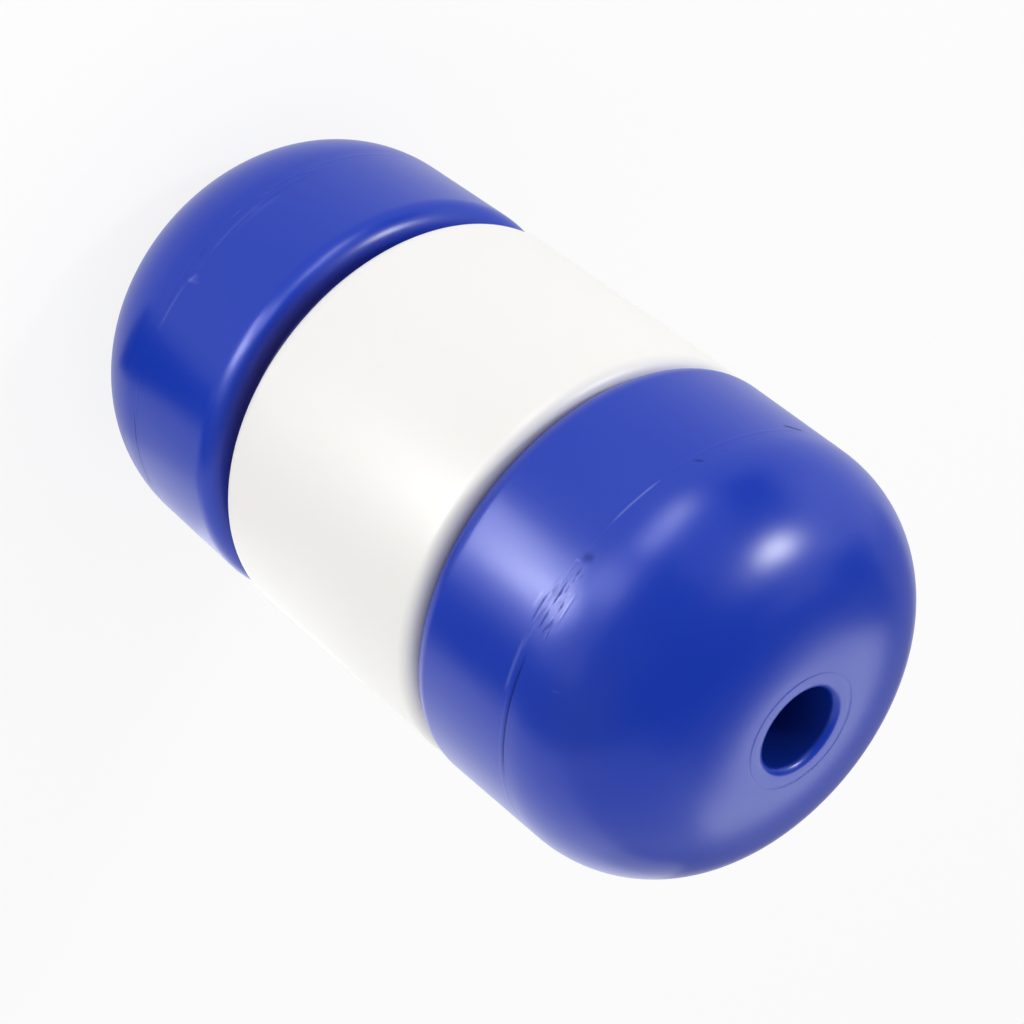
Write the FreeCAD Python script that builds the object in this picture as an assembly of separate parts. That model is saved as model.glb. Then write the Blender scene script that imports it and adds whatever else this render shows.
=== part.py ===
"""Rope float: two moulded blue end caps, a white sleeve round the waist and a rope tube on the axis.

Millimetres, +Z up along the rope tube. The origin is the centre of the far cap's flat end face, on which
the float stands. Every piece is a turned form: a closed profile in the XZ plane revolved about Z.
"""
import FreeCAD, Part
import math
import os

# Whole float
OVERALL_LENGTH = 228.6
BODY_RADIUS = 59.25

# End caps: skirt, rolled rim and dome
CAP_WALL = 2.8
SKIRT_DRAFT_DEG = 0.86
RIM_EDGE_RADIUS = 6.5
SHOULDER_RADIUS = 34.0
CROWN_RADIUS = 58.2

# Rope tube and its mouth in the end of each cap
BORE_RADIUS = 11.1
MOUTH_LIP_RADIUS = 2.0
END_FLAT_WIDTH = 3.3
TUBE_WALL = 3.0
TUBE_ROOT_CHAMFER = 2.0

# Parting line of the mould, a fine bead round the skirt just above the dome
PARTING_BEAD_ABOVE_DOME = 2.9
PARTING_BEAD_WIDTH = 0.7
PARTING_BEAD_HEIGHT = 0.18

# Witness line of the mould's core pin, a fine groove round the mouth
WITNESS_INSET = 0.35
WITNESS_WIDTH = 0.5
WITNESS_DEPTH = 0.15

# Sleeve, and the waist between the rims that it sits in
SLEEVE_LENGTH = 77.8
FAR_GROOVE_WIDTH = 5.3
SLEEVE_SEAT_WIDTH = 1.2
SLEEVE_CLEARANCE = 0.2
SLEEVE_EDGE_RADIUS = 4.2
SLEEVE_BORE_CHAMFER = 0.5

# Laps where the caps' necks and tubes join at the middle of the float
NECK_LAP_LENGTH = 7.0
TUBE_LAP_LENGTH = 9.0
LAP_RADIAL_CLEARANCE = 0.1
LAP_END_CLEARANCE = 0.3

HALF_LENGTH = OVERALL_LENGTH / 2
WAIST_LENGTH = SLEEVE_LENGTH + FAR_GROOVE_WIDTH
RIM_FACE_HEIGHT = HALF_LENGTH - WAIST_LENGTH / 2
RIM_CENTRE = (BODY_RADIUS - RIM_EDGE_RADIUS, RIM_FACE_HEIGHT - RIM_EDGE_RADIUS)
NECK_RADIUS = RIM_CENTRE[0] - SLEEVE_SEAT_WIDTH
END_FLAT_RADIUS = BORE_RADIUS + MOUTH_LIP_RADIUS + END_FLAT_WIDTH
DRAFT = math.radians(SKIRT_DRAFT_DEG)
AXIS = FreeCAD.Vector(0, 0, 1)


class Profile:
    """A closed outline in the XZ plane, drawn point by point as (radius, height)."""

    def __init__(self, radius, height):
        self.start = (radius, height)
        self.here = self.start
        self.edges = []

    @staticmethod
    def vector(point):
        return FreeCAD.Vector(point[0], 0, point[1])

    def line_to(self, radius, height):
        """Draw a straight edge; a point that is already reached adds nothing."""
        end = (radius, height)
        if math.dist(self.here, end) > 1e-6:
            self.edges.append(Part.LineSegment(self.vector(self.here), self.vector(end)).toShape())
            self.here = end

    def arc_to(self, centre, arc_radius, start_deg, end_deg):
        """Draw an arc about a centre; angles run from +X (outwards) towards +Z (up)."""
        angles = [math.radians(degrees) for degrees in (start_deg, (start_deg + end_deg) / 2, end_deg)]
        first, middle, last = [(centre[0] + arc_radius * math.cos(angle),
                                centre[1] + arc_radius * math.sin(angle)) for angle in angles]
        self.line_to(*first)
        arc = Part.Arc(self.vector(self.here), self.vector(middle), self.vector(last))
        self.edges.append(arc.toShape())
        self.here = last

    def revolve(self):
        """Close the outline and turn it once round the axis."""
        self.line_to(*self.start)
        face = Part.Face(Part.Wire(self.edges))
        return face.revolve(FreeCAD.Vector(0, 0, 0), AXIS, 360)


def dome_centres():
    """Centres of the crown arc and of the shoulder arc, as (radius, height).

    The crown is tangent to the flat end, the shoulder lies tangent inside the crown, and the tapered
    skirt runs tangent from the rolled rim to the shoulder.
    """
    crown = (END_FLAT_RADIUS, CROWN_RADIUS)
    inwards = SHOULDER_RADIUS - RIM_EDGE_RADIUS
    start = (RIM_CENTRE[0] - inwards * math.cos(DRAFT), RIM_CENTRE[1] + inwards * math.sin(DRAFT))
    offset = (start[0] - crown[0], start[1] - crown[1])
    down_skirt = (-math.sin(DRAFT), -math.cos(DRAFT))
    along = offset[0] * down_skirt[0] + offset[1] * down_skirt[1]
    excess = offset[0] ** 2 + offset[1] ** 2 - (CROWN_RADIUS - SHOULDER_RADIUS) ** 2
    step = math.sqrt(along ** 2 - excess) - along
    shoulder = (start[0] + step * down_skirt[0], start[1] + step * down_skirt[1])
    return crown, shoulder


def draw_dome(profile, inset, upwards):
    """Draw the dome between the flat end and the skirt, inset from the outside by a wall or nothing."""
    crown, shoulder = dome_centres()
    meet = math.degrees(math.atan2(shoulder[1] - crown[1], shoulder[0] - crown[0]))
    if upwards:
        profile.arc_to(crown, CROWN_RADIUS - inset, -90, meet)
        profile.arc_to(shoulder, SHOULDER_RADIUS - inset, meet, -SKIRT_DRAFT_DEG)
    else:
        profile.arc_to(shoulder, SHOULDER_RADIUS - inset, -SKIRT_DRAFT_DEG, meet)
        profile.arc_to(crown, CROWN_RADIUS - inset, meet, -90)


def draw_parting_bead(profile):
    """Draw the parting bead on the way up the skirt, from where the dome ended."""
    radius, height = profile.here

    def on_skirt(distance):
        return radius + distance * math.sin(DRAFT), height + distance * math.cos(DRAFT)

    half_width = PARTING_BEAD_WIDTH / 2
    top = on_skirt(PARTING_BEAD_ABOVE_DOME)
    profile.line_to(*on_skirt(PARTING_BEAD_ABOVE_DOME - half_width))
    profile.line_to(top[0] + PARTING_BEAD_HEIGHT, top[1])
    profile.line_to(*on_skirt(PARTING_BEAD_ABOVE_DOME + half_width))


def draw_flat_end(profile):
    """Draw the mouth's rolled lip and the flat end round it, with the witness groove near its edge."""
    lip_centre = (BORE_RADIUS + MOUTH_LIP_RADIUS, MOUTH_LIP_RADIUS)
    profile.arc_to(lip_centre, MOUTH_LIP_RADIUS, 180, 270)
    witness_radius = END_FLAT_RADIUS - WITNESS_INSET
    profile.line_to(witness_radius - WITNESS_WIDTH / 2, 0)
    profile.line_to(witness_radius, WITNESS_DEPTH)
    profile.line_to(witness_radius + WITNESS_WIDTH / 2, 0)


def draw_lap(profile, inner, outer, lap_length, socket):
    """Draw the joining end of a neck or tube wall, from its outside over to its inside.

    A plug keeps the inner half of the wall and reaches past the middle of the float; a socket keeps the
    outer half and takes the plug.
    """
    split = (inner + outer) / 2
    if socket:
        split += LAP_RADIAL_CLEARANCE / 2
        lap_end = HALF_LENGTH - lap_length
    else:
        split -= LAP_RADIAL_CLEARANCE / 2
        lap_end = HALF_LENGTH + lap_length - LAP_END_CLEARANCE
    profile.line_to(outer, HALF_LENGTH)
    profile.line_to(split, HALF_LENGTH)
    profile.line_to(split, lap_end)
    profile.line_to(inner, lap_end)


def end_cap(socket):
    """One end cap with its mouth at the bottom, drawn round its section and revolved.

    The outside goes up from the mouth over the dome, skirt and rolled rim to the neck, the inside comes
    back down one wall in, and the outline closes round the rope tube.
    """
    tube_outside = BORE_RADIUS + TUBE_WALL
    root_chamfer = min(TUBE_ROOT_CHAMFER, END_FLAT_RADIUS - tube_outside)
    profile = Profile(BORE_RADIUS, MOUTH_LIP_RADIUS)
    draw_flat_end(profile)
    draw_dome(profile, 0, upwards=True)
    draw_parting_bead(profile)
    profile.arc_to(RIM_CENTRE, RIM_EDGE_RADIUS, -SKIRT_DRAFT_DEG, 90)
    profile.line_to(NECK_RADIUS, RIM_FACE_HEIGHT)
    draw_lap(profile, NECK_RADIUS - CAP_WALL, NECK_RADIUS, NECK_LAP_LENGTH, socket)
    profile.line_to(NECK_RADIUS - CAP_WALL, RIM_FACE_HEIGHT - CAP_WALL)
    profile.arc_to(RIM_CENTRE, RIM_EDGE_RADIUS - CAP_WALL, 90, -SKIRT_DRAFT_DEG)
    draw_dome(profile, CAP_WALL, upwards=False)
    profile.line_to(tube_outside + root_chamfer, CAP_WALL)
    profile.line_to(tube_outside, CAP_WALL + root_chamfer)
    draw_lap(profile, BORE_RADIUS, tube_outside, TUBE_LAP_LENGTH, socket)
    return profile.revolve()


def far_end_cap():
    """The cap that the float stands on, with the plugs of both laps."""
    return end_cap(socket=False)


def near_end_cap():
    """The same cap turned end for end at the top, with the sockets of both laps."""
    cap = end_cap(socket=True)
    cap.rotate(FreeCAD.Vector(0, 0, HALF_LENGTH), FreeCAD.Vector(1, 0, 0), 180)
    return cap


def centre_sleeve():
    """White sleeve round the necks, up against the near cap's rim, with rounded ends."""
    inside = NECK_RADIUS + SLEEVE_CLEARANCE
    top = OVERALL_LENGTH - RIM_FACE_HEIGHT
    bottom = top - SLEEVE_LENGTH
    edge = SLEEVE_EDGE_RADIUS
    chamfer = SLEEVE_BORE_CHAMFER
    profile = Profile(inside, bottom + chamfer)
    profile.line_to(inside + chamfer, bottom)
    profile.arc_to((BODY_RADIUS - edge, bottom + edge), edge, -90, 0)
    profile.arc_to((BODY_RADIUS - edge, top - edge), edge, 0, 90)
    profile.line_to(inside + chamfer, top)
    profile.line_to(inside, top - chamfer)
    return profile.revolve()


def main():
    os.makedirs("parts", exist_ok=True)
    pieces = {
        "far_end_cap": far_end_cap(),
        "near_end_cap": near_end_cap(),
        "centre_sleeve": centre_sleeve(),
    }
    for name, shape in pieces.items():
        if shape.ShapeType != "Solid":
            shape = Part.Solid(shape.Shells[0])
        shape.exportStep(f"parts/{name}.step")
        print(name, "volume", round(shape.Volume / 1000, 1), "cm3, valid", shape.isValid())


main()
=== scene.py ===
"""Rope float: the finished look of the two blue end caps and the white sleeve.

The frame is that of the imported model: +Z runs along the rope bore from the far cap, on whose flat end the
float stands, up to the near cap. Angles round the axis count in degrees from the side that faces the
camera (-Y); positive ones turn towards -X, which is to the upper right in the camera's view. Sizes are in
millimetres where nothing else is said, and become Blender's metres where an object is made.
"""
import logging
import math
from dataclasses import dataclass, field
from enum import Enum
from typing import Optional, Sequence

import bpy
import numpy as np
from mathutils import Matrix, Quaternion, Vector


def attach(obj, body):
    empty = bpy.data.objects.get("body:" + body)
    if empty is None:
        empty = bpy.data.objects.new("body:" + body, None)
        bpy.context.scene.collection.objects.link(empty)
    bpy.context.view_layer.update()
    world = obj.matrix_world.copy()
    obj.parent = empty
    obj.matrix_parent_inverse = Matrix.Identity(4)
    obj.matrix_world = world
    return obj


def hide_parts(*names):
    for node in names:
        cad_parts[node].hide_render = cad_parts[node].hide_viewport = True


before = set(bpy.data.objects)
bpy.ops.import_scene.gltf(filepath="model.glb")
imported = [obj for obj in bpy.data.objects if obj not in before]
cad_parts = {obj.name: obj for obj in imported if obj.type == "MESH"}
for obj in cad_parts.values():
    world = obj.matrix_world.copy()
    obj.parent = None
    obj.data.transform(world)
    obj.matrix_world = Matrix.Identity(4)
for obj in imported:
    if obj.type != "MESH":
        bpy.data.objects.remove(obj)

# Radius and height in a section; first and last value of a range; place in the frame or in the studio
Point = tuple[float, float]
Span = tuple[float, float]
Place = tuple[float, float, float]

LOG = logging.getLogger("rope_float")
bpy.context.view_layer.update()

# One millimetre in metres, and the distance in millimetres below which two points count as one
MM = 0.001
NEAR_ZERO = 1e-6

# Sizes that the pieces share; the body is 0.05 mm slimmer than the solids, so that raised marks fit in
OVERALL_LENGTH = 228.6
BODY_RADIUS = 59.2
BORE_RADIUS = 11.1
RIM_FACE = 72.75

# Where the outer skin begins, the relief at which a mark shows in full, and the run over which painted shade
# fades in at the bore
SKIN_RADIUS = 0.75 * BODY_RADIUS
FULL_MARK = 0.05
BORE_BLEND = 0.3

# Angle between two faces, in degrees, from which their edge stays sharp
SHARP_ANGLE = 35.0

# Degrees between the columns of a turned mesh: where marks lie, on the sleeve, and on plain stretches
MARKED_COLUMN = 0.48
SLEEVE_COLUMN = 0.6
PLAIN_COLUMN = 2.4

# Ranges from which a rub mark's width, its share of the full depth and its lean in degrees are drawn
SCUFF_WIDTHS = (0.14, 0.24)
SCUFF_DEPTHS = (0.5, 1.0)
SCUFF_LEANS = (-3.0, 3.0)


class Slot(Enum):
    """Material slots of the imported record."""

    BLUE = "blue_polyethylene"
    WHITE = "white_polyethylene"


class Step(Enum):
    """Longest distance between points on a stretch of a section."""

    MARKED_SKIN = 0.16
    NECK_ROOT = 0.2
    SLEEVE_EDGE = 0.3
    ROLLED_EDGE = 0.35
    TUBE_ROOT = 0.8
    INNER_EDGE = 1.0
    SLEEVE = 1.2
    DOME = 1.3
    SKIRT = 1.5
    INNER_SHOULDER = 4.0
    INNER_CROWN = 5.0
    BORE = 8.0
    HIDDEN_WALL = 12.0
    END_POINT_ONLY = math.inf


class MarkKind(Enum):
    """How a mark lies in the skin."""

    GROOVE = -1.0
    RIDGE = 1.0


def linear(hex_colour: str) -> tuple[float, float, float, float]:
    """Turn an sRGB hex colour into linear RGBA.

    Args:
        hex_colour: six hex digits after a hash sign.

    Returns:
        Linear red, green and blue, and an alpha of 1.
    """
    parts = [int(hex_colour[i:i + 2], 16) / 255 for i in (1, 3, 5)]
    values = [c / 12.92 if c <= 0.04045 else ((c + 0.055) / 1.055) ** 2.4 for c in parts]
    return (values[0], values[1], values[2], 1.0)


PLAIN_WHITE = linear("#FFFFFF")


def empty_tree(owner: bpy.types.ID) -> bpy.types.NodeTree:
    """Turn on the nodes of a material or a world and clear them.

    Args:
        owner: the material or world.

    Returns:
        Its empty node tree.
    """
    owner.use_nodes = True
    owner.node_tree.nodes.clear()
    return owner.node_tree


def add_node(tree: bpy.types.NodeTree, kind: str, settings: Optional[dict] = None,
             links: Optional[dict] = None) -> bpy.types.Node:
    """Add one node to a tree with its settings and links.

    Args:
        tree: node tree of a material or a world.
        kind: Blender's type name of the node.
        settings: values by name; a name that the node itself has sets the node, any other an input socket.
        links: output sockets by the name or number of the input that each feeds.

    Returns:
        The new node.
    """
    node = tree.nodes.new(kind)
    plain = {k: v for k, v in (settings or {}).items() if hasattr(node, str(k))}
    for name, value in plain.items():
        setattr(node, name, value)
    for name, value in (settings or {}).items():
        if name not in plain:
            node.inputs[name].default_value = value
    for name, source in (links or {}).items():
        tree.links.new(source, node.inputs[name])
    return node


class Outline:
    """Half section of a turned piece, as (radius, height) points that are joined in order."""

    def __init__(self, radius: float, height: float) -> None:
        """Start the outline at a point."""
        self.points: list[Point] = [(radius, height)]

    def line_to(self, radius: float, height: float, step: Step = Step.END_POINT_ONLY) -> None:
        """Draw a straight run; a point that is already reached adds nothing.

        Args:
            radius: distance of the end point from the axis.
            height: height of the end point.
            step: longest distance between points on the run.
        """
        r0, z0 = self.points[-1]
        length = math.hypot(radius - r0, height - z0)
        if length < NEAR_ZERO:
            return
        count = max(1, math.ceil(length / step.value))
        for i in range(1, count + 1):
            t = i / count
            self.points.append((r0 + t * (radius - r0), z0 + t * (height - z0)))

    def arc(self, centre: Point, size: float, start: float, end: float, step: Step) -> None:
        """Draw an arc, after a straight run to its start.

        Args:
            centre: radius and height of the arc's centre.
            size: radius of the arc.
            start: angle at which it starts, in degrees from outwards towards up.
            end: angle at which it ends.
            step: longest distance between points on the arc.
        """
        count = max(2, math.ceil(abs(math.radians(end - start)) * size / step.value))
        angles = [math.radians(start + (end - start) * i / count) for i in range(count + 1)]
        points = [(centre[0] + size * math.cos(a), centre[1] + size * math.sin(a)) for a in angles]
        self.line_to(*points[0])
        self.points.extend(points[1:])

    def turned_over(self) -> "Outline":
        """Turn the outline end for end about the middle of the float.

        Returns:
            The turned outline; this one stays as it is.
        """
        over = Outline(*self.points[0])
        over.points = [(r, OVERALL_LENGTH - z) for r, z in self.points]
        return over


@dataclass(frozen=True)
class Mark:
    """One scratch, nick or mould line on the skin.

    Attributes:
        kind: whether it is cut in or stands up.
        angle: place of its middle round the axis.
        height: place of its middle along the axis.
        run: length of the mark.
        width: distance over which its cross section falls away.
        depth: greatest depth or height.
        lean: turn of its run away from the ring direction, in degrees.
        tapered: share of the run over which each end fades.
    """

    kind: MarkKind
    angle: float
    height: float
    run: float
    width: float
    depth: float
    lean: float = 0.0
    tapered: float = 0.2

    def relief(self, angles: np.ndarray, heights: np.ndarray) -> np.ndarray:
        """Give the displacement along the normal.

        Args:
            angles: angles of the columns.
            heights: heights of the rows.

        Returns:
            Displacement for each row and column.
        """
        around = np.radians(angles - self.angle)[None, :] * BODY_RADIUS
        up = (heights - self.height)[:, None]
        lean = math.radians(self.lean)
        along = around * math.cos(lean) + up * math.sin(lean)
        across = up * math.cos(lean) - around * math.sin(lean)
        fading = max(self.run * self.tapered, self.width)
        ends = np.clip((self.run / 2 - np.abs(along)) / fading, 0.0, 1.0)
        return self.kind.value * self.depth * ends * np.exp(-(across / self.width) ** 2)


@dataclass(frozen=True)
class JointShade:
    """Painted shade in a joint between two pieces, darkest on the side turned from the light and gone on the
    other.

    Attributes:
        height: place of its middle along the axis.
        reach: distance over which the painted shade fades out.
        share: how far the painted shade darkens the plastic where it is darkest, from 0 to 1.
        darkest: angle round the axis at which the painted shade is darkest.
    """

    height: float
    reach: float
    share: float
    darkest: float = -12.0

    def shade_share(self, angles: np.ndarray, heights: np.ndarray) -> np.ndarray:
        """Give the share of painted shade on the skin.

        Args:
            angles: angles of the columns.
            heights: heights of the rows.

        Returns:
            Share from 0 to 1 for each row and column.
        """
        up = self.share * np.exp(-((heights - self.height) / self.reach) ** 2)
        around = np.maximum(np.cos(np.radians(angles - self.darkest)), 0.0) ** 2
        return up[:, None] * around[None, :]


def column_angles(fine: Span, fine_step: float, coarse_step: float) -> np.ndarray:
    """Spread the columns of a turned mesh round the axis.

    Args:
        fine: first and last angle of the stretch with close columns.
        fine_step: step between columns there.
        coarse_step: step between columns on the rest of the turn.

    Returns:
        Rising angles over one full turn without its last column.
    """
    near = np.arange(fine[0], fine[1], fine_step)
    left = 360.0 - (fine[1] - fine[0])
    count = math.ceil(left / coarse_step)
    rest = fine[1] + np.arange(count) * left / count
    return np.concatenate([near, rest])


@dataclass
class TurnedSkin:
    """A section turned round the axis into a closed mesh, with marks and painted joint shade on its outer
    skin.

    Attributes:
        name: name of the object.
        outline: closed half section; its last point joins its first.
        angles: angles of the columns.
        marks: marks in the outer skin.
        joint_shades: painted shade in the joints of the outer skin.
    """

    name: str
    outline: Outline
    angles: np.ndarray
    marks: Sequence[Mark]
    joint_shades: Sequence[JointShade]

    def section(self) -> np.ndarray:
        """Return the outline's points as rows, without a last one that repeats the first."""
        points = np.array(self.outline.points)
        return points[:-1] if math.dist(points[0], points[-1]) < NEAR_ZERO else points

    @staticmethod
    def enclosed(points: np.ndarray) -> float:
        """Return twice the section's area, which is negative if it runs clockwise."""
        radii, heights = points[:, 0], points[:, 1]
        return float(np.sum(radii * np.roll(heights, -1) - np.roll(radii, -1) * heights))

    def outward(self, points: np.ndarray) -> np.ndarray:
        """Find the directions that point out of the material.

        Args:
            points: the section's points.

        Returns:
            Radius and height of a unit vector for each point.
        """
        tangent = np.roll(points, -1, axis=0) - np.roll(points, 1, axis=0)
        tangent /= np.maximum(np.linalg.norm(tangent, axis=1), NEAR_ZERO)[:, None]
        way = 1.0 if self.enclosed(points) > 0 else -1.0
        return np.stack([tangent[:, 1], -tangent[:, 0]], axis=1) * way

    def faces(self, points: np.ndarray) -> np.ndarray:
        """Join neighbouring rows and columns into quads that face outwards.

        Args:
            points: the section's points.

        Returns:
            Four vertex numbers for each face.
        """
        rows, columns = len(points), len(self.angles)
        index = np.arange(rows * columns).reshape(rows, columns)
        beside, above = np.roll(index, -1, axis=1), np.roll(index, -1, axis=0)
        corner = np.roll(above, -1, axis=1)
        quads = np.stack([index, above, corner, beside], axis=2).reshape(-1, 4)
        return quads[:, ::-1] if self.enclosed(points) < 0 else quads

    @staticmethod
    def keep(mesh: bpy.types.Mesh, name: str, values: np.ndarray) -> None:
        """Store one number per vertex for the material to read.

        Args:
            mesh: the mesh that carries them.
            name: name of the attribute.
            values: the numbers, for each row and column.
        """
        attribute = mesh.attributes.new(name, "FLOAT", "POINT")
        attribute.data.foreach_set("value", values.ravel().astype(np.float32))

    def build(self) -> bpy.types.Object:
        """Make the object.

        Returns:
            The smooth shaded object. Its attribute "wear_and_bore_shade" is 1 on a high ridge and -1 in a
            deep groove and in the bore, where it stands for painted shade, and its attribute
            "painted_joint_shade" is the share of the plastic that painted shade hides in a joint.
        """
        points = self.section()
        radii, heights = points[:, 0], points[:, 1]
        nothing = np.zeros((len(points), len(self.angles)))
        outer = (radii > SKIN_RADIUS)[:, None]
        relief = sum((mark.relief(self.angles, heights) for mark in self.marks), nothing) * outer
        # Painted shade in the joints between the pieces
        shade_share = sum((joint_shade.shade_share(self.angles, heights) for joint_shade in self.joint_shades), nothing) * outer
        # Painted shade deep in the rope bore, drawn with the dark colour of a groove
        bore_shade = np.clip((BORE_RADIUS + BORE_BLEND - radii) / BORE_BLEND, 0.0, 1.0)[:, None]
        out = self.outward(points)
        radius = radii[:, None] + relief * out[:, 0][:, None]
        height = heights[:, None] + relief * out[:, 1][:, None]
        turned = np.radians(self.angles)
        xyz = np.stack([-radius * np.sin(turned), -radius * np.cos(turned), height], axis=2) * MM
        mesh = bpy.data.meshes.new(self.name)
        mesh.from_pydata(xyz.reshape(-1, 3).tolist(), [], self.faces(points).tolist())
        mesh.shade_smooth()
        mesh.set_sharp_from_angle(angle=math.radians(SHARP_ANGLE))
        self.keep(mesh, "wear_and_bore_shade", np.clip(relief / FULL_MARK - bore_shade, -1.0, 1.0))
        self.keep(mesh, "painted_joint_shade", np.clip(shade_share, 0.0, 1.0))
        piece = bpy.data.objects.new(self.name, mesh)
        bpy.context.scene.collection.objects.link(piece)
        return piece


@dataclass(frozen=True)
class MouldedPolyethylene:
    """High-density polyethylene as it leaves a polished mould.

    The skin is satin: a broad soft sheen over the pigment, broken by the mould's faint waviness and by a
    fine grain. Rubbed ridges have a colour of their own, grooves are darker and duller, the bore is darkened
    with painted shade, and painted shade darkens the joints between the pieces. The index of refraction is
    set below the plastic's own, about 1.54, to match the weaker sheen of the float. The real grain is too
    fine to show in a render, so it is drawn coarser.

    Attributes:
        name: name of the material.
        slot: the record's material slot of this plastic; not used.
        colour: pigment; this and the next three are sRGB hex.
        rubbed: colour of a rubbed ridge.
        groove_and_bore_shade_colour: darker colour of a groove, also used as painted shade in the bore.
        painted_joint_shade: colour of the painted shade in the joints.
        roughness: mean roughness.
        ior: index of refraction.
        wave_size: size of the mould's waves.
        wave_height: height of the waves.
        grain_size: size of the grain.
        grain_height: height of the grain.
        cloud_size: size of the clouds over which tint and roughness wander.
        cloud_tint: greatest share of the rubbed colour in a cloud.
        cloud_roughness: greatest change of the roughness in a cloud.
        rub_share: share of the rubbed colour on a high ridge.
        groove_and_bore_shade_share: share of that darker colour in a deep groove and deep in the bore.
        gloss: specular level of the clean skin.
        gloss_lost: what each of a deep groove, the shaded bore and full painted joint shade takes off it.
    """

    name: str
    slot: Slot
    colour: str
    rubbed: str
    groove_and_bore_shade_colour: str
    painted_joint_shade: str
    roughness: float
    ior: float
    wave_size: float
    wave_height: float = 0.03
    grain_size: float = 0.9
    grain_height: float = 0.004
    cloud_size: float = 30.0
    cloud_tint: float = 0.012
    cloud_roughness: float = 0.04
    rub_share: float = 0.40
    groove_and_bore_shade_share: float = 0.55
    gloss: float = 0.42
    gloss_lost: float = 0.30

    def skin_colour(self, tree: bpy.types.NodeTree, cloud: bpy.types.NodeSocket, wear_and_bore_shade: bpy.types.NodeSocket,
                    groove_and_bore_shade_mask: bpy.types.NodeSocket, joint_shade: bpy.types.NodeSocket) -> bpy.types.NodeSocket:
        """Mix the pigment with its clouds, the rubbed ridges, the dark grooves, the painted shade in the
        bore and the painted shade in the joints.

        Args:
            tree: the material's nodes.
            cloud: slow noise.
            wear_and_bore_shade: 1 on a high ridge, -1 in a deep groove and in the bore.
            groove_and_bore_shade_mask: 1 in a deep groove and deep in the bore, where it paints shade.
            joint_shade: 1 where painted shade hides the plastic in a joint.

        Returns:
            The colour of the skin.
        """
        tint = add_node(tree, "ShaderNodeMapRange", {"To Min": 0.0, "To Max": self.cloud_tint},
                        {"Value": cloud}).outputs["Result"]
        high = add_node(tree, "ShaderNodeMath", {"operation": "MAXIMUM", 1: 0.0}, {0: wear_and_bore_shade}).outputs[0]
        rubbing = add_node(tree, "ShaderNodeMath", {"operation": "MULTIPLY_ADD", 1: self.rub_share},
                           {0: high, 2: tint}).outputs[0]
        clean = add_node(tree, "ShaderNodeMix", {"data_type": "RGBA", 6: linear(self.colour),
                                                 7: linear(self.rubbed)}, {0: rubbing}).outputs[2]
        # Darker colour in the grooves, and painted shade in the bore
        groove_and_bore_shading = add_node(tree, "ShaderNodeMath", {"operation": "MULTIPLY", 1: self.groove_and_bore_shade_share},
                           {0: groove_and_bore_shade_mask}).outputs[0]
        worn_and_bore_shaded = add_node(tree, "ShaderNodeMix", {"data_type": "RGBA", 7: linear(self.groove_and_bore_shade_colour)},
                        {0: groove_and_bore_shading, 6: clean}).outputs[2]
        return add_node(tree, "ShaderNodeMix", {"data_type": "RGBA", 7: linear(self.painted_joint_shade)},
                        {0: joint_shade, 6: worn_and_bore_shaded}).outputs[2]

    def skin_relief(self, tree: bpy.types.NodeTree, place: bpy.types.NodeSocket) -> bpy.types.NodeSocket:
        """Bump the skin with the mould's waves and the grain.

        Args:
            tree: the material's nodes.
            place: place on the piece, in metres.

        Returns:
            The bumped normal.
        """
        wave = add_node(tree, "ShaderNodeTexNoise", {"Scale": 1.0 / (self.wave_size * MM), "Detail": 2.0},
                        {"Vector": place}).outputs["Fac"]
        grain = add_node(tree, "ShaderNodeTexNoise", {"Scale": 1.0 / (self.grain_size * MM), "Detail": 3.0},
                         {"Vector": place}).outputs["Fac"]
        waved = add_node(tree, "ShaderNodeBump", {"Distance": self.wave_height * MM}, {"Height": wave})
        grained = add_node(tree, "ShaderNodeBump", {"Distance": self.grain_height * MM},
                           {"Height": grain, "Normal": waved.outputs[0]})
        return grained.outputs[0]

    def build(self) -> bpy.types.Material:
        """Make the material.

        Returns:
            A node material for every piece of this plastic.
        """
        material = bpy.data.materials.new(self.name)
        tree = empty_tree(material)
        place = add_node(tree, "ShaderNodeTexCoord").outputs["Object"]
        cloud = add_node(tree, "ShaderNodeTexNoise", {"Scale": 1.0 / (self.cloud_size * MM), "Detail": 3.0},
                         {"Vector": place}).outputs["Fac"]
        wear_and_bore_shade = add_node(tree, "ShaderNodeAttribute", {"attribute_name": "wear_and_bore_shade"}).outputs["Fac"]
        joint_shade = add_node(tree, "ShaderNodeAttribute", {"attribute_name": "painted_joint_shade"}).outputs["Fac"]
        groove_and_bore_shade_mask = add_node(tree, "ShaderNodeMath", {"operation": "MULTIPLY", 1: -1.0, "use_clamp": True},
                       {0: wear_and_bore_shade}).outputs[0]
        matt = add_node(tree, "ShaderNodeMath", {"operation": "MAXIMUM"}, {0: groove_and_bore_shade_mask, 1: joint_shade}).outputs[0]
        gloss = add_node(tree, "ShaderNodeMath", {"operation": "MULTIPLY_ADD", 1: -self.gloss_lost,
                                                  2: self.gloss}, {0: matt}).outputs[0]
        rough = add_node(tree, "ShaderNodeMapRange", {"To Min": self.roughness - self.cloud_roughness,
                                                      "To Max": self.roughness + self.cloud_roughness},
                         {"Value": cloud}).outputs["Result"]
        shader = add_node(tree, "ShaderNodeBsdfPrincipled", {"IOR": self.ior},
                          {"Base Color": self.skin_colour(tree, cloud, wear_and_bore_shade, groove_and_bore_shade_mask, joint_shade),
                           "Roughness": rough, "Specular IOR Level": gloss,
                           "Normal": self.skin_relief(tree, place)})
        add_node(tree, "ShaderNodeOutputMaterial", links={"Surface": shader.outputs[0]})
        return material


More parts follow.
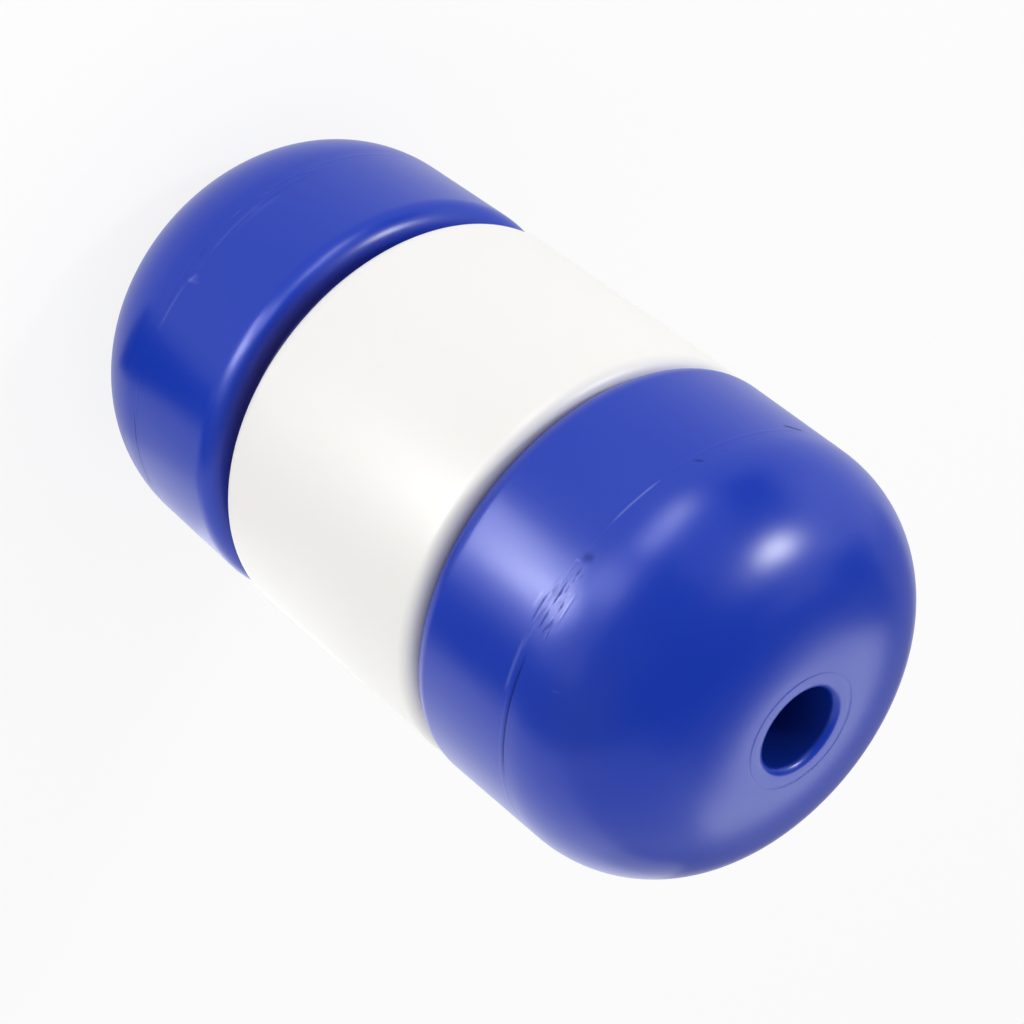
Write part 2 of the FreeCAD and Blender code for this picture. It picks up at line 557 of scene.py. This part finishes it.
# In each plastic the last colour is painted shade for the joints; the blue's dark groove colour also paints
# the shade in the bore
BLUE_PLASTIC = MouldedPolyethylene(
    "moulded_blue_polyethylene", Slot.BLUE, colour="#0033B2", rubbed="#7F8BD8", groove_and_bore_shade_colour="#141C50",
    painted_joint_shade="#353064", roughness=0.30, ior=1.46, wave_size=9.0)
WHITE_PLASTIC = MouldedPolyethylene(
    "moulded_white_polyethylene", Slot.WHITE, colour="#F2F1EE", rubbed="#E9E7E2", groove_and_bore_shade_colour="#B9B6AE",
    painted_joint_shade="#9290AA", roughness=0.40, ior=1.45, wave_size=14.0)


def dress(piece: bpy.types.Object, node: str, finish: MouldedPolyethylene) -> bpy.types.Object:
    """Give a piece its plastic and let it stand for a CAD node.

    Args:
        piece: the finished mesh object.
        node: name of the CAD node that it replaces.
        finish: the plastic it is moulded from.

    Returns:
        The same object.
    """
    material = bpy.data.materials.get(finish.name) or finish.build()
    piece.data.materials.append(material)
    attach(piece, "root")
    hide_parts(node)
    return piece


@dataclass
class EndCap:
    """A blue end cap: tapered skirt with a rolled rim, dome, mouth, neck and half of the rope tube.

    It is drawn with its mouth at the bottom; the near cap is turned over.

    Attributes:
        node: name of the CAD node that it stands for.
        near: whether it is the near cap, which has the sockets of both laps.
        finish: the plastic it is moulded from.
        marked: first and last angle of the stretch that carries marks.
        marks: marks in its skin.
        joint_shades: painted shade in the joint on its skin.
        wall: thickness of its wall.
        draft: taper of the skirt, in degrees.
        rim_edge: radius of the rolled rim.
        rim_face: height of the rim's flat face.
        shoulder: radius of the dome's arc beside the skirt.
        crown: radius of the dome's arc beside the flat ring.
        marked_from: angle, in degrees, from which the rows on the shoulder's arc are close enough for marks.
        marked_rows: number of close rows above the dome.
        lip: radius of the mouth's lip.
        flat: width of the flat ring round the mouth.
        tube_wall: thickness of the rope tube.
        tube_root: fillet at the root of the rope tube.
        tube_lap: length over which the tubes of the two caps overlap.
        bead_above_dome: distance of the parting bead from the dome, up the skirt.
        bead_width: distance over which the bead falls away.
        bead_height: height of the bead.
        witness_inset: distance of the witness groove from the ring's outer edge.
        witness_width: distance over which the groove falls away.
        witness_depth: depth of the groove.
        witness_points: number of points on the groove's section in one such width.
        neck: radius of the neck.
        neck_root: fillet at the root of the neck.
        neck_lap: length over which the necks of the two caps overlap.
        lap_clearance: clearance between the walls of a lap.
        lap_end_gap: gap at the end of a lap.
    """

    node: str
    near: bool
    finish: MouldedPolyethylene
    marked: Span
    marks: list[Mark] = field(default_factory=list)
    joint_shades: list[JointShade] = field(default_factory=list)
    wall: float = 2.8
    draft: float = 0.86
    rim_edge: float = 6.5
    rim_face: float = RIM_FACE
    shoulder: float = 34.0
    crown: float = 58.2
    marked_from: float = -7.0
    marked_rows: int = 43
    lip: float = 2.0
    flat: float = 3.3
    tube_wall: float = 3.0
    tube_root: float = 2.0
    tube_lap: float = 9.0
    bead_above_dome: float = 2.9
    bead_width: float = 0.35
    bead_height: float = 0.03
    witness_inset: float = 0.35
    witness_width: float = 0.30
    witness_depth: float = 0.06
    witness_points: int = 3
    neck: float = 51.5
    neck_root: float = 0.4
    neck_lap: float = 7.0
    lap_clearance: float = 0.1
    lap_end_gap: float = 0.3

    def rim_centre(self) -> Point:
        """Return the centre of the rolled rim's arc."""
        return (BODY_RADIUS - self.rim_edge, self.rim_face - self.rim_edge)

    def dome_centres(self) -> tuple[Point, Point, float]:
        """Find the arcs of the dome: each runs into the next, and the last into the skirt, with no corner.

        Returns:
            Centre of the crown arc, centre of the shoulder arc, and the angle at which they meet.
        """
        draft = math.radians(self.draft)
        crown = (BORE_RADIUS + self.lip + self.flat, self.crown)
        rim = self.rim_centre()
        inwards = self.shoulder - self.rim_edge
        start = (rim[0] - inwards * math.cos(draft), rim[1] + inwards * math.sin(draft))
        offset = (start[0] - crown[0], start[1] - crown[1])
        down = (-math.sin(draft), -math.cos(draft))
        along = offset[0] * down[0] + offset[1] * down[1]
        excess = offset[0] ** 2 + offset[1] ** 2 - (self.crown - self.shoulder) ** 2
        distance = math.sqrt(along ** 2 - excess) - along
        shoulder = (start[0] + distance * down[0], start[1] + distance * down[1])
        meet = math.degrees(math.atan2(shoulder[1] - crown[1], shoulder[0] - crown[0]))
        return crown, shoulder, meet

    def draw_end(self, outline: Outline) -> None:
        """Draw the mouth's lip and the flat ring with its witness groove.

        Args:
            outline: the section so far, up to the bore's end.
        """
        outline.arc((BORE_RADIUS + self.lip, self.lip), self.lip, 180, 270, Step.ROLLED_EDGE)
        witness = BORE_RADIUS + self.lip + self.flat - self.witness_inset
        side = 2 * self.witness_points
        for i in range(-side, side + 1):
            across = i * self.witness_width / self.witness_points
            cut = self.witness_depth * math.exp(-(across / self.witness_width) ** 2)
            outline.line_to(witness + across, cut)

    def draw_skirt(self, outline: Outline) -> None:
        """Draw the tapered skirt with the parting bead of the mould, up to and over the rolled rim.

        Args:
            outline: the section so far, up to the end of the dome.
        """
        draft = math.radians(self.draft)
        radius, height = outline.points[-1]
        for i in range(1, self.marked_rows + 1):
            along = i * Step.MARKED_SKIN.value
            across = along - self.bead_above_dome
            raised = self.bead_height * math.exp(-(across / self.bead_width) ** 2)
            outline.line_to(radius + along * math.sin(draft) + raised, height + along * math.cos(draft))
        rim = self.rim_centre()
        start = (rim[0] + self.rim_edge * math.cos(draft), rim[1] - self.rim_edge * math.sin(draft))
        outline.line_to(start[0], start[1], Step.SKIRT)
        outline.arc(rim, self.rim_edge, -self.draft, 90, Step.ROLLED_EDGE)

    def draw_lap(self, outline: Outline, inner: float, outer: float, lap: float) -> None:
        """Draw the joining end of the neck's or the tube's wall, from its outside over to its inside.

        Args:
            outline: the section so far, up to the wall's root.
            inner: radius of the wall's inside.
            outer: radius of the wall's outside.
            lap: length of the overlap.
        """
        middle = OVERALL_LENGTH / 2
        half_clearance = self.lap_clearance / 2
        split = (inner + outer) / 2 + (half_clearance if self.near else -half_clearance)
        end = middle - lap if self.near else middle + lap - self.lap_end_gap
        outline.line_to(outer, middle, Step.HIDDEN_WALL)
        outline.line_to(split, middle)
        outline.line_to(split, end)
        outline.line_to(inner, end)

    def outline(self) -> Outline:
        """Draw the whole closed section.

        Returns:
            The outline, up the outside from the mouth to the neck and back down the inside to the tube.
        """
        crown, shoulder, meet = self.dome_centres()
        root = (self.neck + self.neck_root, self.rim_face + self.neck_root)
        tube = BORE_RADIUS + self.tube_wall
        tube_root = (tube + self.tube_root, self.wall + self.tube_root)
        outline = Outline(BORE_RADIUS, self.lip)
        self.draw_end(outline)
        outline.arc(crown, self.crown, -90, meet, Step.DOME)
        outline.arc(shoulder, self.shoulder, meet, self.marked_from, Step.DOME)
        outline.arc(shoulder, self.shoulder, self.marked_from, -self.draft, Step.MARKED_SKIN)
        self.draw_skirt(outline)
        outline.arc(root, self.neck_root, 270, 180, Step.NECK_ROOT)
        self.draw_lap(outline, self.neck - self.wall, self.neck, self.neck_lap)
        outline.arc(root, self.neck_root + self.wall, 180, 270, Step.INNER_EDGE)
        outline.arc(self.rim_centre(), self.rim_edge - self.wall, 90, -self.draft, Step.INNER_EDGE)
        outline.arc(shoulder, self.shoulder - self.wall, -self.draft, meet, Step.INNER_SHOULDER)
        outline.arc(crown, self.crown - self.wall, meet, -90, Step.INNER_CROWN)
        outline.arc(tube_root, self.tube_root, 270, 180, Step.TUBE_ROOT)
        self.draw_lap(outline, BORE_RADIUS, tube, self.tube_lap)
        outline.line_to(BORE_RADIUS, self.lip, Step.BORE)
        return outline.turned_over() if self.near else outline

    def build(self) -> bpy.types.Object:
        """Turn the section into a mesh with its marks and put it in the CAD node's place.

        Returns:
            The finished piece.
        """
        columns = column_angles(self.marked, MARKED_COLUMN, PLAIN_COLUMN)
        skin = TurnedSkin(self.node + "_skin", self.outline(), columns, self.marks, self.joint_shades)
        return dress(skin.build(), self.node, self.finish)


@dataclass
class CentreSleeve:
    """The white sleeve round the waist: a thick unmarked tube, up against the near cap's rim.

    Attributes:
        node: name of the CAD node that it stands for.
        finish: the plastic it is moulded from.
        joint_shades: painted shade in the joints on its skin.
        shown: first and last angle of the stretch with close columns.
        length: its length.
        top: height of its upper end.
        inside: radius of its inside.
        edge: radius of its rounded ends.
        chamfer: chamfer at the ends of its inside.
    """

    node: str
    finish: MouldedPolyethylene
    joint_shades: list[JointShade] = field(default_factory=list)
    shown: Span = (-90.0, 90.0)
    length: float = 77.8
    top: float = OVERALL_LENGTH - RIM_FACE
    inside: float = 51.75
    edge: float = 4.2
    chamfer: float = 0.5

    def outline(self) -> Outline:
        """Draw the section of the thick tube with its rounded ends.

        Returns:
            The closed outline.
        """
        bottom = self.top - self.length
        outline = Outline(self.inside, bottom + self.chamfer)
        outline.line_to(self.inside + self.chamfer, bottom)
        outline.arc((BODY_RADIUS - self.edge, bottom + self.edge), self.edge, -90, 0, Step.SLEEVE_EDGE)
        outline.line_to(BODY_RADIUS, self.top - self.edge, Step.SLEEVE)
        outline.arc((BODY_RADIUS - self.edge, self.top - self.edge), self.edge, 0, 90, Step.SLEEVE_EDGE)
        outline.line_to(self.inside + self.chamfer, self.top)
        outline.line_to(self.inside, self.top - self.chamfer)
        outline.line_to(self.inside, bottom + self.chamfer, Step.HIDDEN_WALL)
        return outline

    def build(self) -> bpy.types.Object:
        """Turn the section into a mesh and put it in the CAD node's place.

        Returns:
            The finished piece.
        """
        columns = column_angles(self.shown, SLEEVE_COLUMN, PLAIN_COLUMN)
        skin = TurnedSkin(self.node + "_skin", self.outline(), columns, [], self.joint_shades)
        return dress(skin.build(), self.node, self.finish)


def scuffs(seed: int, count: int, angles: Span, heights: Span, runs: Span, depth: float) -> list[Mark]:
    """Scatter short fine rub marks that run round the float.

    Args:
        seed: seed of the scatter.
        count: number of marks.
        angles: first and last angle of the patch.
        heights: lowest and highest place of the patch.
        runs: shortest and longest mark.
        depth: depth of the deepest.

    Returns:
        Grooves and, one in three, ridges.
    """
    spread = np.random.default_rng(seed)
    marks = []
    for i in range(count):
        kind = MarkKind.RIDGE if i % 3 == 2 else MarkKind.GROOVE
        angle, height, run = spread.uniform(*angles), spread.uniform(*heights), spread.uniform(*runs)
        width, share = spread.uniform(*SCUFF_WIDTHS), spread.uniform(*SCUFF_DEPTHS)
        marks.append(Mark(kind, angle, height, run, width, depth * share, spread.uniform(*SCUFF_LEANS)))
    return marks


def near_marks() -> list[Mark]:
    """List the marks on the near cap.

    Returns:
        The parting line where it shows, the rub marks beside it and a few nicks.
    """
    groove, ridge = MarkKind.GROOVE, MarkKind.RIDGE
    return [
        # Stretches of the parting line
        Mark(groove, -41.5, 191.8, 38.0, 0.34, 0.06),
        Mark(groove, -15.8, 191.8, 5.4, 0.24, 0.045),
        Mark(groove, -8.8, 191.9, 7.0, 0.20, 0.05),
        # Single scratches beside it
        Mark(ridge, -28.5, 189.5, 16.0, 0.45, 0.035),
        Mark(groove, -14.6, 189.0, 7.6, 0.26, 0.04),
        Mark(ridge, -13.0, 187.6, 5.0, 0.50, 0.022),
        Mark(groove, -15.2, 190.7, 4.4, 0.18, 0.03),
        Mark(groove, -7.2, 193.0, 2.6, 0.20, 0.04),
        Mark(groove, -5.0, 193.2, 1.3, 0.26, 0.035),
        Mark(groove, -10.6, 193.2, 1.8, 0.20, 0.03),
        Mark(ridge, -10.4, 195.7, 8.5, 0.30, 0.055),
        # A dull smudge and a nick at the end of the scratches, and a pale line to the right of them
        Mark(groove, 1.2, 192.6, 3.6, 1.10, 0.035, 60.0),
        Mark(ridge, -0.8, 190.8, 1.6, 0.30, 0.03, 70.0),
        Mark(ridge, 17.5, 191.0, 16.0, 0.24, 0.042),
        # A nick and a deep cut farther right, and a speck on the dome
        Mark(groove, 35.0, 192.5, 2.6, 0.30, 0.05, 50.0),
        Mark(groove, 68.0, 189.8, 6.5, 0.40, 0.12, 18.0),
        Mark(ridge, -28.0, 202.0, 0.9, 0.40, 0.03),
        # Patches of fine rub marks along the parting line
        *scuffs(11, 16, (-18.5, -10.0), (193.2, 195.1), (1.2, 3.6), 0.030),
        *scuffs(12, 14, (-11.0, -2.0), (191.6, 194.4), (1.0, 3.2), 0.024),
        *scuffs(13, 20, (-24.0, -4.0), (189.2, 191.6), (1.4, 4.6), 0.022),
    ]


def far_marks() -> list[Mark]:
    """List the marks on the far cap.

    Returns:
        A star nick, faint lines beside it, a piece of the parting line and faint rub marks.
    """
    groove, ridge = MarkKind.GROOVE, MarkKind.RIDGE
    return [
        # The two arms of the star nick
        Mark(ridge, -5.5, 41.8, 4.0, 0.50, 0.022, 80.0),
        Mark(ridge, -5.0, 41.2, 3.4, 0.50, 0.030, 20.0),
        # Faint lines to its left and to its right
        Mark(ridge, -13.5, 39.8, 16.0, 0.42, 0.020, 3.0),
        Mark(ridge, 12.0, 40.4, 22.0, 0.45, 0.012, -2.0),
        Mark(ridge, 17.0, 42.0, 20.0, 0.45, 0.010, -3.0),
        Mark(groove, 30.0, 40.8, 18.0, 0.40, 0.008),
        # The piece of the parting line that shows
        Mark(groove, -59.0, 37.3, 33.0, 0.32, 0.05),
        # Fine rub marks between them
        *scuffs(21, 18, (-25.0, 38.0), (37.4, 43.0), (1.0, 5.0), 0.013),
    ]


def studio_place(place: Place) -> Vector:
    """Turn a place in the studio into a place in the frame.

    Args:
        place: distance towards the camera, to the side and above the floor.

    Returns:
        The same place in metres.
    """
    towards_camera, to_the_side, height = place
    return Vector((-to_the_side * MM, -towards_camera * MM, height * MM))


def flat_panel(name: str, width: float, height: float, material: bpy.types.Material) -> bpy.types.Object:
    """Make a flat rectangle for the studio.

    Args:
        name: name of the object.
        width: its width, in metres.
        height: its height, in metres.
        material: its material.

    Returns:
        The object, which lies at the origin and faces up.
    """
    half, tall = width / 2, height / 2
    corners = [(-half, -tall, 0), (half, -tall, 0), (half, tall, 0), (-half, tall, 0)]
    mesh = bpy.data.meshes.new(name)
    mesh.from_pydata(corners, [], [(0, 1, 2, 3)])
    mesh.materials.append(material)
    panel = bpy.data.objects.new(name, mesh)
    bpy.context.scene.collection.objects.link(panel)
    return panel


@dataclass(frozen=True)
class SoftBox:
    """A square studio light box.

    Attributes:
        name: name of the lamp.
        place: its distance towards the camera, to the side and above the floor.
        aim: the point that it faces, given the same way.
        size: length of its side.
        power: its power, in watts.
    """

    name: str
    place: Place
    aim: Place
    size: float
    power: float

    def build(self) -> None:
        """Hang the light and turn it towards its aim."""
        lamp = bpy.data.lights.new(self.name, "AREA")
        lamp.shape = "SQUARE"
        lamp.size = self.size * MM
        lamp.energy = self.power
        box = bpy.data.objects.new(self.name, lamp)
        place = studio_place(self.place)
        box.location = place
        box.rotation_euler = (studio_place(self.aim) - place).to_track_quat("-Z", "Y").to_euler()
        box.visible_camera = False
        bpy.context.scene.collection.objects.link(box)


@dataclass(frozen=True)
class SheenBoard:
    """A studio board or net that only the float's sheen sees.

    A glowing board adds a highlight, and a net dims the part of the white room that lies behind it. Neither
    one lights or shades the pigment, and the camera sees past both.

    Attributes:
        name: name of the board.
        place: its distance towards the camera, to the side and above the floor.
        aim: the point that it faces, given the same way.
        width: its width.
        height: its height.
        glow: brightness that it adds; 1 is the brightness of the room.
        dim: share of the light behind it that it keeps back.
        turn: turn about its facing direction, in degrees.
    """

    name: str
    place: Place
    aim: Place
    width: float
    height: float
    glow: float = 0.0
    dim: float = 0.0
    turn: float = 0.0

    def material(self) -> bpy.types.Material:
        """Make the net, which lets through what it does not keep back and adds its glow.

        Returns:
            The board's own material.
        """
        material = bpy.data.materials.new(self.name)
        tree = empty_tree(material)
        through = 1.0 - self.dim
        net = add_node(tree, "ShaderNodeBsdfTransparent", {"Color": (through, through, through, 1.0)})
        glow = add_node(tree, "ShaderNodeEmission", {"Color": PLAIN_WHITE, "Strength": self.glow})
        both = add_node(tree, "ShaderNodeAddShader", {}, {0: net.outputs[0], 1: glow.outputs[0]})
        add_node(tree, "ShaderNodeOutputMaterial", links={"Surface": both.outputs[0]})
        return material

    def build(self) -> None:
        """Hang the board up and turn it to its aim."""
        board = flat_panel(self.name, self.width * MM, self.height * MM, self.material())
        place = studio_place(self.place)
        facing = (studio_place(self.aim) - place).to_track_quat("Z", "Y")
        board.location = place
        board.rotation_euler = (facing @ Quaternion((0, 0, 1), math.radians(self.turn))).to_euler()
        board.visible_camera = False
        board.visible_diffuse = False
        board.visible_shadow = False


@dataclass
class Studio:
    """Pale floor, even soft light, light boxes, boards for the sheen and the camera.

    Attributes:
        boxes: the light boxes.
        boards: the boards and nets that the sheen mirrors.
        world_strength: strength of the even light from all sides.
        floor_size: length of the floor's side, in metres.
        floor_colour: colour of the painted floor, sRGB hex.
        shadow_share: share of the floor's real shading that the camera and reflections see.
        lens: focal length of the camera.
        sensor_width: width of the camera's sensor.
        clip_start: nearest distance that the camera sees, in metres.
        camera_place: place of the camera, in metres.
        look_down: angle by which the camera looks down, in degrees.
        azimuth: angle by which it looks past the axis, in degrees.
        roll: turn of the camera about its line of sight, in degrees.
    """

    boxes: list[SoftBox]
    boards: list[SheenBoard]
    world_strength: float = 0.64
    floor_size: float = 6.0
    floor_colour: str = "#FAFAFA"
    shadow_share: float = 0.15
    lens: float = 99.59
    sensor_width: float = 36.0
    clip_start: float = 0.01
    camera_place: Place = (0.0, -0.57383, 0.55793)
    look_down: float = 37.136
    azimuth: float = 0.167
    roll: float = -128.291

    @staticmethod
    def seen_directly(tree: bpy.types.NodeTree) -> bpy.types.NodeSocket:
        """Tell the rays that show the studio from those that light the float.

        Args:
            tree: nodes of the world or of the floor.

        Returns:
            1 for camera, glossy and transmission rays and 0 for the rest.
        """
        path = add_node(tree, "ShaderNodeLightPath")
        gloss = add_node(tree, "ShaderNodeMath", {"operation": "MAXIMUM"},
                         {0: path.outputs["Is Camera Ray"], 1: path.outputs["Is Glossy Ray"]}).outputs[0]
        return add_node(tree, "ShaderNodeMath", {"operation": "MAXIMUM"},
                        {0: gloss, 1: path.outputs["Is Transmission Ray"]}).outputs[0]

    def build_world(self) -> None:
        """Light the scene evenly from all sides; the camera and reflections see plain white."""
        world = bpy.data.worlds.new("studio_world")
        tree = empty_tree(world)
        shade = add_node(tree, "ShaderNodeBackground",
                         {"Color": PLAIN_WHITE, "Strength": self.world_strength})
        white = add_node(tree, "ShaderNodeBackground", {"Color": PLAIN_WHITE, "Strength": 1.0})
        mixed = add_node(tree, "ShaderNodeMixShader", {},
                         {0: self.seen_directly(tree), 1: shade.outputs[0], 2: white.outputs[0]})
        add_node(tree, "ShaderNodeOutputWorld", links={"Surface": mixed.outputs[0]})
        bpy.context.scene.world = world

    def build_floor(self) -> None:
        """Lay the pale floor: it shows nearly white and keeps a light share of the float's shadow."""
        material = bpy.data.materials.new("painted_floor")
        tree = empty_tree(material)
        matt = add_node(tree, "ShaderNodeBsdfDiffuse", {"Color": linear(self.floor_colour)})
        white = add_node(tree, "ShaderNodeEmission", {"Color": PLAIN_WHITE, "Strength": 1.0})
        share = add_node(tree, "ShaderNodeMath", {"operation": "MULTIPLY", 1: 1.0 - self.shadow_share},
                         {0: self.seen_directly(tree)}).outputs[0]
        mixed = add_node(tree, "ShaderNodeMixShader", {},
                         {0: share, 1: matt.outputs[0], 2: white.outputs[0]})
        add_node(tree, "ShaderNodeOutputMaterial", links={"Surface": mixed.outputs[0]})
        floor = flat_panel("studio_floor", self.floor_size, self.floor_size, material)

    def build_camera(self) -> None:
        """Put the camera at the photograph's viewpoint."""
        down, turn, roll = (math.radians(v) for v in (self.look_down, self.azimuth, self.roll))
        level = math.cos(down)
        forward = Vector((math.sin(turn) * level, math.cos(turn) * level, -math.sin(down)))
        side = forward.cross(Vector((0, 0, 1))).normalized()
        upright = side.cross(forward)
        up = upright * math.cos(roll) + side * math.sin(roll)
        right = forward.cross(up)
        lens = bpy.data.cameras.new("photo_camera")
        lens.lens = self.lens
        lens.sensor_width = self.sensor_width
        lens.clip_start = self.clip_start
        camera = bpy.data.objects.new("photo_camera", lens)
        turned = Matrix((right, up, -forward)).transposed().to_4x4()
        camera.matrix_world = Matrix.Translation(self.camera_place) @ turned
        bpy.context.scene.collection.objects.link(camera)
        bpy.context.scene.camera = camera

    def build(self) -> None:
        """Set up the whole studio."""
        bpy.context.scene.view_settings.view_transform = "Standard"
        self.build_world()
        self.build_floor()
        self.build_camera()
        for fitting in [*self.boxes, *self.boards]:
            fitting.build()


def studio_boxes() -> list[SoftBox]:
    """List the light boxes.

    Returns:
        Two large soft ones and the three small ones that draw the highlights.
    """
    middle = (0, 0, 114)
    return [
        SoftBox("left_box", (606, -970, 478), middle, size=900, power=2.15),
        SoftBox("right_box", (-39, 1127, 524), middle, size=900, power=0.87),
        SoftBox("side_lamp", (160, 881, 997), middle, size=160, power=3.45),
        SoftBox("ceiling_lamp", (286, 240, 138), (40, 20, 140), size=70, power=0.140),
        SoftBox("front_lamp", (190, -65, 81), (58, -10, 160), size=30, power=0.029),
    ]


def studio_boards() -> list[SheenBoard]:
    """List the boards and nets that the sheen mirrors.

    Returns:
        The faces of the lamps, the white table and the dark room.
    """
    upper, crown = (0, 0, 200), (30, 0, 200)
    return [
        SheenBoard("side_lamp_face", (160, 881, 997), upper, 210, 190, glow=64),
        SheenBoard("ceiling_lamp_edge", (296, 150, 166), (56, 5, 205), 112, 80, glow=7),
        SheenBoard("ceiling_lamp_rest", (298, -8, 160), (56, 1, 200), 80, 130, glow=4.3),
        SheenBoard("front_lamp_face", (190, -65, 81), (58, -10, 160), 30, 30, glow=8.5),
        SheenBoard("front_lamp_low", (250, -98, 60), (58, -10, 160), 60, 60, glow=13.8),
        SheenBoard("front_lamp_edge", (217, -33, 56), (58, -5, 170), 44, 44, glow=12.4),
        SheenBoard("front_lamp_middle", (217, -67, 92), (58, -10, 178), 44, 40, glow=10.5),
        SheenBoard("front_lamp_high", (224, -68, 124), (57, -10, 195), 40, 42, glow=9.6),
        SheenBoard("table_beside", (28, -142, 122), (108, -81, 122), 220, 205, glow=0.56),
        SheenBoard("table_below", (-60, -140, 2), (-60, -140, 500), 150, 150, glow=0.44),
        SheenBoard("table_behind", (-356, 1, 428), upper, 330, 110, glow=2.6),
        SheenBoard("dim_horizon", (-400, 0, 245), (0, 0, 245), 900, 230, dim=0.6),
        SheenBoard("dark_room_left", (116, -166, 400), (0, 1, 400), 110, 800, dim=1.0),
        SheenBoard("dark_strip_below", (88, -95, 1.5), (88, -95, 500), 130, 36, dim=1.0, turn=-30),
        SheenBoard("dark_by_camera", (330, -90, 480), crown, 560, 320, dim=1.0),
        SheenBoard("dark_under_camera", (330, -90, 300), crown, 560, 120, dim=1.0),
        SheenBoard("dark_ceiling", (90, -30, 599), upper, 480, 440, dim=1.0),
        SheenBoard("dark_ceiling_behind", (-171, 1, 584), upper, 300, 220, dim=0.73),
        SheenBoard("dark_room_behind", (-267, 224, 435), upper, 260, 200, dim=1.0),
        SheenBoard("dark_room_right", (135, 371, 344), upper, 200, 500, dim=1.0),
        SheenBoard("dark_table_end", (-99, 25, 610), (-20, 85, 610), 640, 380, dim=1.0),
    ]


def main() -> None:
    """Build the three pieces in order, report each one, and set up the studio round them."""
    logging.basicConfig(level=logging.INFO, format="%(name)s: %(message)s")
    # Painted shade in the joints: in the far groove, on the sleeve's upper edge and on the near cap's rim
    far_joint_shade = JointShade(height=73.3, reach=1.8, share=0.92)
    sleeve_joint_shade = JointShade(height=156.6, reach=2.1, share=0.66)
    near_joint_shade = JointShade(height=157.0, reach=3.0, share=0.48)
    parts = [
        EndCap("far_end_cap", near=False, finish=BLUE_PLASTIC, marked=(-76.0, 42.0), marks=far_marks(),
               joint_shades=[far_joint_shade]),
        CentreSleeve("centre_sleeve", finish=WHITE_PLASTIC, joint_shades=[sleeve_joint_shade]),
        EndCap("near_end_cap", near=True, finish=BLUE_PLASTIC, marked=(-66.0, 76.0), marks=near_marks(),
               joint_shades=[near_joint_shade]),
    ]
    for part in parts:
        piece = part.build()
        LOG.info("%s: %d faces", piece.name, len(piece.data.polygons))
    Studio(studio_boxes(), studio_boards()).build()


if __name__ == "__main__":
    main()
